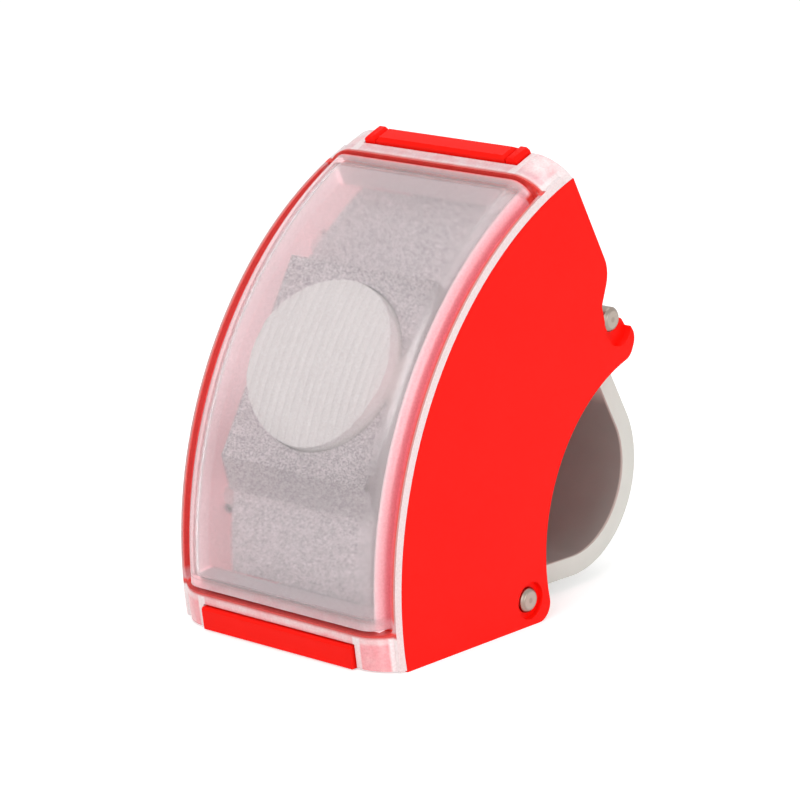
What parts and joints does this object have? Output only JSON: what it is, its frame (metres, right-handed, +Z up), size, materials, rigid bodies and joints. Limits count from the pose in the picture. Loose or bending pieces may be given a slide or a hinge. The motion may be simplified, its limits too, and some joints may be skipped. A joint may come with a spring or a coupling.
{
  "type": "bicycle headlight",
  "caption": "Strap-on bicycle headlight with a curved translucent front, a fluted round optic, a top button, a charging flap and a rubber handlebar strap.",
  "frame": {"origin": "middle of the base of the part's box; the lamp stands on its flat base", "axes": "+Z up, the front faces -Y, the handlebar seat faces +Y, X runs across the lamp"},
  "size_m": [0.033, 0.053, 0.0553],
  "materials": {
    "red_housing": "satin moulded ABS, red",
    "clear_red_cover": "polished translucent polycarbonate, red tint",
    "red_button": "satin moulded ABS, red",
    "red_flap": "satin moulded ABS, red",
    "silicone": "matte silicone",
    "switch_black": "moulded black",
    "green_board": "glass-fibre board with green solder mask",
    "clear_optic": "clear moulded acrylic with vertical flutes",
    "white_holder": "moulded white",
    "led_white": "ceramic emitter with yellow phosphor and silicone dome",
    "led_board_white": "aluminium-core board with white mask",
    "grey_frame": "glass-filled nylon, dark grey",
    "steel_screw": "zinc-plated",
    "aluminium": "milled, clear anodised",
    "component_black": "moulded packages",
    "foam_pad": "closed-cell foam",
    "cell_foil": "laminated aluminium pouch",
    "silver_mask": "metallic silver-painted moulding",
    "socket_steel": "drawn stainless shell",
    "steel_pin": "ground stainless pin, satin",
    "grey_strap": "matte moulded silicone, warm grey"
  },
  "bodies": {
    "housing": {"housing": "red_housing", "lens_cover": "clear_red_cover", "stem_seal": "silicone", "tact_switch": "switch_black", "switch_board": "green_board", "main_optic": "clear_optic", "optic_holder": "white_holder", "led_emitter": "led_white", "led_board": "led_board_white", "inner_frame": "grey_frame", "frame_screws": "steel_screw", "heat_spreader": "aluminium", "main_board": "green_board", "board_components": "component_black", "battery_pad": "foam_pad", "battery_cell": "cell_foil", "reflector_mask": "silver_mask", "charging_socket": "socket_steel", "charge_board": "green_board", "flap_pin": "steel_pin", "strap": "grey_strap", "lower_pin": "steel_pin"},
    "power_button": {"power_button": "red_button", "switch_plunger": "switch_black"},
    "strap_end": {"upper_pin": "steel_pin"},
    "port_flap": {"port_flap": "red_flap", "flap_seal": "silicone"}
  },
  "joints": [
    {"name": "power_button_press", "type": "slide", "parent": "housing", "child": "power_button", "axis": [0, 0.3776, -0.926], "range_m": [0, 0.0008], "stiffness_N_per_m": 800},
    {"name": "strap_release", "type": "slide", "parent": "housing", "child": "strap_end", "axis": [0, 0.148, 0.989], "range_m": [0, 0.006], "stiffness_N_per_m": 1500, "deforming": ["strap"]},
    {"name": "port_flap_hinge", "type": "hinge", "parent": "housing", "child": "port_flap", "pos_m": [0, -0.01513, 0.00105], "axis": [1, 0, 0], "range_deg": [0, 95]}
  ]
}
